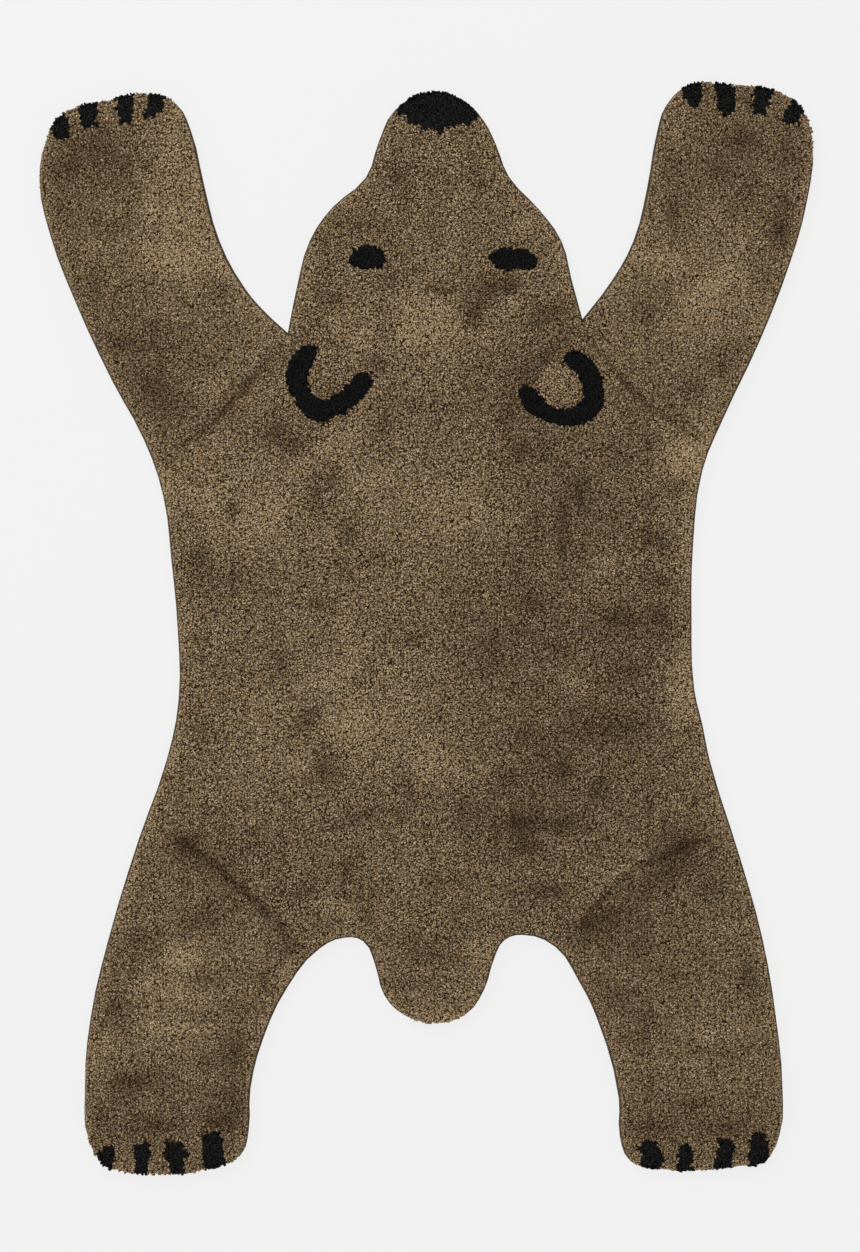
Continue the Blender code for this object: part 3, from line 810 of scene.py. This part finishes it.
def wool_finish(name, lit, shaded, glint, sheen):
    """Cut wool pile: matt, with a soft sheen. Its fibre ends are pale and greyish where they face
    the light, and between them and towards the root a painted shade in the wool's full dark colour
    shows."""
    material, tree, shader = new_finish(
        name, Roughness=0.9, Sheen_Weight=sheen, Sheen_Roughness=0.45, Sheen_Tint=lit, IOR=1.54,
        Specular_IOR_Level=0.1)
    up, shade, coarse = (
        add_node(tree, "ShaderNodeAttribute", attribute_name=each).outputs["Fac"]
        for each in ("up", "shade", "coarse"))
    # Fibres about 0.05 mm thick would not show, so they are drawn as flecks about 1.4 mm wide
    spot = add_node(tree, "ShaderNodeTexCoord").outputs["Object"]
    fibres = add_node(tree, "ShaderNodeTexNoise", {
        "Vector": spot, "Scale": 1 / (1.4 * MM), "Detail": 1.0, "Roughness": 0.6}).outputs["Fac"]
    flecks = add_node(tree, "ShaderNodeMapRange", {
        0: fibres, 1: 0.38, 2: 0.62, 3: -0.24, 4: 0.92}).outputs[0]
    # Painted shade: each yarn's cut end, about 3 mm wide, is pale in its middle and dark where it meets
    # the next
    yarns = add_node(tree, "ShaderNodeTexVoronoi", {
        "Vector": spot, "Scale": 1 / (3.0 * MM), "Randomness": 0.8}, voronoi_dimensions="2D")
    painted_end_shade = add_node(tree, "ShaderNodeMapRange", {
        0: yarns.outputs["Distance"], 1: 0.1, 2: 0.62, 3: 0.34, 4: -0.42}).outputs[0]
    ends = add_node(tree, "ShaderNodeMath", {0: flecks, 1: painted_end_shade}, operation="ADD").outputs[0]
    # Coarser yarn, as inside the ears, has more contrast
    strong = add_node(tree, "ShaderNodeMapRange", {
        0: ends, 1: 0.1, 2: 0.6, 3: -0.6, 4: 1.1}).outputs[0]
    ends = add_node(tree, "ShaderNodeMix", {
        0: coarse, 2: ends, 3: strong}, clamp_factor=False).outputs[0]
    # Single ends catch the light
    bright = add_node(tree, "ShaderNodeTexNoise", {
        "Vector": spot, "Scale": 1 / (1.25 * MM), "W": 3.0, "Detail": 1.0}, noise_dimensions="4D")
    glints = add_node(tree, "ShaderNodeMapRange", {
        0: bright.outputs["Fac"], 1: 0.57, 2: 0.66, 3: 0.0, 4: 1.0}).outputs[0]
    # Both fade towards the root, a painted shade, and with the tuft's own shade, which holds its tone
    # and its painted light and shade
    depth = add_node(tree, "ShaderNodeMapRange", {0: up, 1: 0.1, 2: 0.8, 3: 0.35, 4: 1.0}).outputs[0]
    seen = add_node(tree, "ShaderNodeMath", {0: shade, 1: depth}, operation="MULTIPLY").outputs[0]
    colour_here = shaded
    for part, its_colour in ((ends, lit), (glints, glint)):
        amount = add_node(tree, "ShaderNodeMath", {0: part, 1: seen}, operation="MULTIPLY").outputs[0]
        colour_here = add_node(tree, "ShaderNodeMix", {
            0: amount, 6: colour_here, 7: its_colour}, data_type="RGBA").outputs[2]
    rough = add_node(tree, "ShaderNodeMapRange", {0: fibres, 1: 0.3, 2: 0.7, 3: 0.82, 4: 0.98})
    relief = {"Strength": 0.5, "Distance": 0.4 * MM, "Height": fibres}
    wire(tree, shader, colour_here, rough, relief)
    return material


def packed_finish(name, lit, shaded):
    """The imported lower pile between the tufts: the same wool in painted shade, dark and matt."""
    material, tree, shader = new_finish(name, Roughness=0.95, IOR=1.54, Specular_IOR_Level=0.1)
    spot = add_node(tree, "ShaderNodeTexCoord").outputs["Object"]
    # Tufts pressed side by side, about 4 mm each, with painted shade where they meet
    cells = add_node(tree, "ShaderNodeTexVoronoi", {
        "Vector": spot, "Scale": 1 / (4 * MM)}).outputs["Distance"]
    fibres = add_node(tree, "ShaderNodeTexNoise", {
        "Vector": spot, "Scale": 1 / (1.2 * MM)}).outputs["Fac"]
    painted_end_shade = add_node(tree, "ShaderNodeMapRange", {
        0: cells, 1: 0.2, 2: 0.7, 3: 0.5, 4: 0.1}).outputs[0]
    share_lit = add_node(tree, "ShaderNodeMath", {
        0: painted_end_shade, 1: fibres}, operation="MULTIPLY").outputs[0]
    shades = add_node(tree, "ShaderNodeMix", {0: share_lit, 6: shaded, 7: lit}, data_type="RGBA")
    rough = add_node(tree, "ShaderNodeMapRange", {0: fibres, 3: 0.88, 4: 1.0})
    relief = {"Strength": 0.8, "Distance": 1.0 * MM, "Height": cells}
    wire(tree, shader, shades.outputs[2], rough, relief, invert=True)
    return material


def canvas_finish(warp, weft):
    """Dyed cotton canvas in plain weave: matt, with a fine grid of threads that cross over and
    under each other."""
    material, tree, shader = new_finish(
        "dyed_cotton_canvas", Roughness=0.9, Sheen_Weight=0.1, IOR=1.53, Specular_IOR_Level=0.25)
    spot = add_node(tree, "ShaderNodeTexCoord").outputs["Object"]
    thread = 1.6 * MM  # the real threads, 0.8 mm apart, would blur, so they are drawn twice as wide
    parts = add_node(tree, "ShaderNodeSeparateXYZ", {0: spot})
    humps = []
    for axis in "XY":
        across = parts.outputs[axis]
        turns = add_node(tree, "ShaderNodeMath", {0: across, 1: math.pi / thread}, operation="MULTIPLY")
        wave = add_node(tree, "ShaderNodeMath", {0: turns.outputs[0]}, operation="SINE")
        hump = add_node(tree, "ShaderNodeMath", {0: wave.outputs[0]}, operation="ABSOLUTE")
        humps.append(hump.outputs[0])
    over = add_node(tree, "ShaderNodeTexChecker", {"Vector": spot, "Scale": 1 / thread}).outputs["Fac"]
    height = add_node(tree, "ShaderNodeMix", {0: over, 2: humps[0], 3: humps[1]}).outputs[0]
    uneven = add_node(tree, "ShaderNodeTexNoise", {
        "Vector": spot, "Scale": 1 / (6 * MM), "Detail": 3.0}).outputs["Fac"]
    threads = add_node(tree, "ShaderNodeMix", {0: over, 6: warp, 7: weft}, data_type="RGBA").outputs[2]
    # Painted shade in the hollows between the threads, times an uneven random tone
    dark = add_node(tree, "ShaderNodeMapRange", {0: height, 3: 0.45, 4: 1.0}).outputs[0]
    fade = add_node(tree, "ShaderNodeMapRange", {0: uneven, 1: 0.3, 2: 0.7, 3: 0.8, 4: 1.15}).outputs[0]
    lit = add_node(tree, "ShaderNodeMath", {0: dark, 1: fade}, operation="MULTIPLY").outputs[0]
    scaled = add_node(tree, "ShaderNodeVectorMath", {0: threads, "Scale": lit}, operation="SCALE")
    rough = add_node(tree, "ShaderNodeMapRange", {0: uneven, 3: 0.85, 4: 0.95})
    relief = {"Strength": 0.6, "Distance": 0.5 * MM, "Height": height}
    wire(tree, shader, scaled.outputs["Vector"], rough, relief)
    return material


# ---------------------------------------------------------------------------------------------
# Operators


FLOOR_HALF = 40.0  # metres, so that its far edge stays out of low views
FLOOR_DROP = 0.5 * MM
FLOOR_GLOW = 0.91  # the studio paper is lit a little from within, so the shadows stay faint
FLOOR_SHARES = (0.105, 0.11)  # how much of the floor's colour it throws back, with a faint grain
SKY_STRENGTH = 0.66
LIGHT_PLACE = Vector((-1.9, 2.2, 2.9))
LIGHT_WIDE = 2.4
LIGHT_WATTS = 55
LENS = 100  # in mm, with a sensor as high as a film frame is wide
SENSOR = 36


class RUG_OT_stage(bpy.types.Operator):
    """Set the floor, the soft studio light and the camera"""

    bl_idname = "rug.stage"
    bl_label = "Stage"

    def execute(self, context):
        scene = context.scene
        scene.view_settings.view_transform = "Standard"
        bm = bmesh.new()
        bmesh.ops.create_grid(
            bm, x_segments=1, y_segments=1, size=FLOOR_HALF,
            matrix=Matrix.Translation((0, 0, -FLOOR_DROP)))
        mesh = bpy.data.meshes.new("floor")
        bm.to_mesh(mesh)
        bm.free()
        floor = bpy.data.objects.new("floor", mesh)
        scene.collection.objects.link(floor)
        # Matt studio paper
        paper = Vector(scene.rug_colours.floor)
        material, tree, shader = new_finish(
            "studio_paper", Roughness=0.95, Specular_IOR_Level=0.1, Emission_Color=opaque(paper),
            Emission_Strength=FLOOR_GLOW)
        spot = add_node(tree, "ShaderNodeTexCoord").outputs["Object"]
        grain = add_node(tree, "ShaderNodeTexNoise", {"Vector": spot, "Scale": 4.0}).outputs["Fac"]
        pale, paler = (opaque(paper * part) for part in FLOOR_SHARES)
        tone = add_node(tree, "ShaderNodeMix", {0: grain, 6: pale, 7: paler}, data_type="RGBA")
        tree.links.new(tone.outputs[2], shader.inputs["Base Color"])
        mesh.materials.append(material)

        world = bpy.data.worlds.new("studio")
        scene.world = world
        world.use_nodes = True
        sky = world.node_tree.nodes["Background"]
        sky.inputs["Color"].default_value = (1.0, 1.0, 1.0, 1.0)
        sky.inputs["Strength"].default_value = SKY_STRENGTH
        lamp = bpy.data.lights.new("softbox", "AREA")
        lamp.shape = "SQUARE"
        lamp.size = LIGHT_WIDE
        lamp.energy = LIGHT_WATTS
        softbox = bpy.data.objects.new("softbox", lamp)
        softbox.location = LIGHT_PLACE
        softbox.rotation_euler = (-LIGHT_PLACE).to_track_quat("-Z", "Y").to_euler()
        scene.collection.objects.link(softbox)

        lens = bpy.data.cameras.new("camera")
        lens.lens = LENS
        lens.sensor_width = SENSOR
        camera = bpy.data.objects.new("camera", lens)
        camera.location = (*PHOTO_MIDDLE, PILE_TOP + PHOTO_HIGH * PIXEL * LENS / SENSOR)
        scene.collection.objects.link(camera)
        scene.camera = camera
        return {"FINISHED"}


class RUG_OT_backing(bpy.types.Operator):
    """Give the backing its woven canvas"""

    bl_idname = "rug.backing"
    bl_label = "Backing canvas"

    def execute(self, context):
        colours = context.scene.rug_colours
        canvas = canvas_finish(opaque(colours.canvas_warp), opaque(colours.canvas_weft))
        backing = NODES["backing"]
        backing.data.materials.clear()
        backing.data.materials.append(canvas)
        return {"FINISHED"}


def tuft_kit():
    """The shapes of a tuft in a hidden collection, and the nodes that plant them."""
    home = bpy.data.collections.new("tuft_shapes")
    for number in range(TUFT_SHAPES):
        tuft_shape(number, home)
    return home, planting(home)


def clear_kit(home, tree):
    """Takes away what planted the tufts."""
    for shape in list(home.objects):
        bpy.data.objects.remove(shape)
    bpy.data.collections.remove(home)
    bpy.data.node_groups.remove(tree)


def lay_pile(context, nodes, material):
    """Plants the tufts of these nodes, piece by piece."""
    by_piece = collections.defaultdict(list)
    for tuft in plan_tufts(context.scene.rug_sizes, nodes):
        by_piece[tuft.piece].append(tuft)
    home, tree = tuft_kit()
    for name in sorted(by_piece):
        piece = plant_tufts(name, by_piece[name], tree, material)
        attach(piece, "root")
    clear_kit(home, tree)


class RUG_OT_brown_pile(bpy.types.Operator):
    """Lay the brown wool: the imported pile, then its tufts field by field"""

    bl_idname = "rug.brown_pile"
    bl_label = "Brown pile"

    def execute(self, context):
        colours = context.scene.rug_colours
        lit, shaded, glint = map(opaque, (colours.brown_lit, colours.brown_shaded, colours.brown_glint))
        packed = packed_finish("brown_wool_packed", lit, shaded)
        shows = context.scene.rug_sizes.shows
        bed = packed_pile("brown_packed_pile", ["pile_brown"], shows, BROWN_SHRINKS, packed)
        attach(bed, "root")
        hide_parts("pile_brown")
        wool = wool_finish("brown_cut_wool", lit, shaded, glint, sheen=0.2)
        lay_pile(context, ["pile_brown"], wool)
        return {"FINISHED"}


class RUG_OT_black_pile(bpy.types.Operator):
    """Lay the black wool of nose, eyes, ears and claws"""

    bl_idname = "rug.black_pile"
    bl_label = "Black pile"

    def execute(self, context):
        colours = context.scene.rug_colours
        lit, shaded, glint = map(opaque, (colours.black_lit, colours.black_shaded, colours.black_glint))
        packed = packed_finish("black_wool_packed", lit, shaded)
        shows = context.scene.rug_sizes.shows
        bed = packed_pile("black_packed_pile", BLACK_NODES, shows, BLACK_SHRINKS, packed)
        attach(bed, "root")
        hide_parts(*BLACK_NODES)
        wool = wool_finish("black_cut_wool", lit, shaded, glint, sheen=0.03)
        lay_pile(context, BLACK_NODES, wool)
        return {"FINISHED"}


class RUG_PT_panel(bpy.types.Panel):
    """Lists the steps and their sizes and colours"""

    bl_idname = "RUG_PT_panel"
    bl_label = "Bear Shaped Rug"
    bl_space_type = "VIEW_3D"
    bl_region_type = "UI"
    bl_category = "Rug"

    def draw(self, context):
        layout = self.layout
        for step in STEPS:
            layout.operator(step.bl_idname)
        for group in (context.scene.rug_sizes, context.scene.rug_colours):
            box = layout.box()
            for name in group.__annotations__:
                box.prop(group, name)


STEPS = (RUG_OT_stage, RUG_OT_backing, RUG_OT_brown_pile, RUG_OT_black_pile)
CLASSES = (RugPileSizes, RugColours, *STEPS, RUG_PT_panel)


def register():
    for each in CLASSES:
        bpy.utils.register_class(each)
    bpy.types.Scene.rug_sizes = bpy.props.PointerProperty(type=RugPileSizes)
    bpy.types.Scene.rug_colours = bpy.props.PointerProperty(type=RugColours)


def unregister():
    del bpy.types.Scene.rug_colours
    del bpy.types.Scene.rug_sizes
    for each in reversed(CLASSES):
        bpy.utils.unregister_class(each)


def main():
    register()
    bpy.ops.rug.stage()
    bpy.ops.rug.backing()
    bpy.ops.rug.brown_pile()
    bpy.ops.rug.black_pile()


if __name__ == "__main__":
    main()
